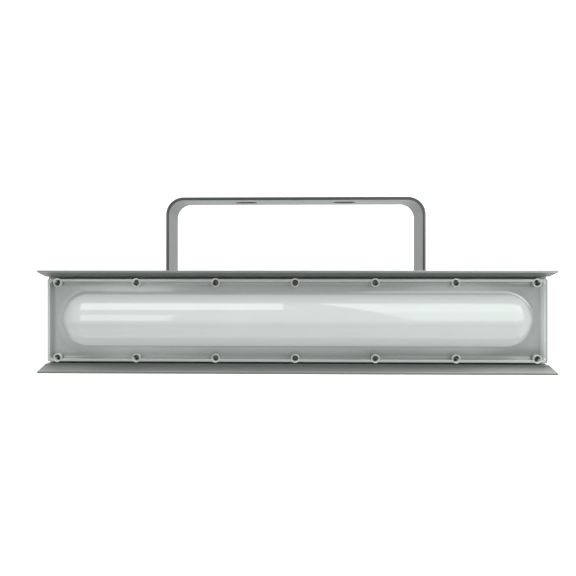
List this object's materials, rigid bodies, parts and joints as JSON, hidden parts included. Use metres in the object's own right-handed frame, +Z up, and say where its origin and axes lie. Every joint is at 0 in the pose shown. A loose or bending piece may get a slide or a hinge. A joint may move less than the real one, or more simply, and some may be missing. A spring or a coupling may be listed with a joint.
{
  "type": "explosion-proof led light",
  "caption": "Linear industrial light: finned extruded housing with splayed visor wings, one-piece milky domed cover held by 14 screws, rear driver box, tilting in a slotted U yoke.",
  "frame": {"origin": "centre of the two slots on the top face of the yoke, where the lamp is bolted to a ceiling or beam", "axes": "+X along the lamp, +Z up out of the yoke's top face, lens facing -Y at rest"},
  "size_m": [0.6128, 0.145, 0.2215],
  "materials": {
    "housing_paint": "satin grey powder coat",
    "yoke_paint": "satin grey powder coat",
    "milky_lens": "glossy milky moulding",
    "seal_rubber": "matt",
    "stainless": "plain stainless",
    "black_steel": "black oxide",
    "board": "white solder mask",
    "chip": "phosphor gel",
    "pad": "soft thermal pad",
    "reflector_white": "matt white paint",
    "driver_case": "potted case",
    "terminal_plastic": "moulded",
    "lead_sleeve": "insulated wire",
    "bush_plastic": "moulded",
    "plated_brass": "nickel plated",
    "fibre": "pressed fibre"
  },
  "bodies": {
    "yoke": {"yoke_bracket": "yoke_paint"},
    "lamp": {"housing_extrusion": "housing_paint", "end_cap_left": "housing_paint", "end_cap_right": "housing_paint", "end_cap_gaskets": "seal_rubber", "end_cap_screws": "stainless", "lens_cover": "milky_lens", "lens_gasket": "seal_rubber", "lens_screws": "black_steel", "lens_spring_washers": "black_steel", "thermal_pads": "pad", "led_boards": "board", "led_chips": "chip", "board_screws": "stainless", "board_connectors": "terminal_plastic", "reflector_tray": "reflector_white", "driver_box": "housing_paint", "box_seal": "seal_rubber", "box_mount_screws": "stainless", "rear_cover": "housing_paint", "rear_cover_gasket": "seal_rubber", "rear_cover_screws": "stainless", "led_driver": "driver_case", "driver_screws": "stainless", "terminal_block": "terminal_plastic", "terminal_screws": "stainless", "mains_leads": "lead_sleeve", "dc_leads": "lead_sleeve", "lead_bush": "bush_plastic", "gland_washer": "seal_rubber", "gland_body": "plated_brass", "gland_locknut": "plated_brass", "gland_nut": "plated_brass", "gland_seal": "seal_rubber", "earth_washers": "stainless", "earth_screw": "stainless", "pivot_friction_washers": "fibre", "pivot_flat_washers": "stainless", "pivot_spring_washers": "stainless", "pivot_bolts": "stainless"}
  },
  "joints": [
    {"name": "tilt", "type": "hinge", "parent": "yoke", "child": "lamp", "pos_m": [0, 0, -0.156], "axis": [1, 0, 0], "range_deg": [0, 180]}
  ]
}
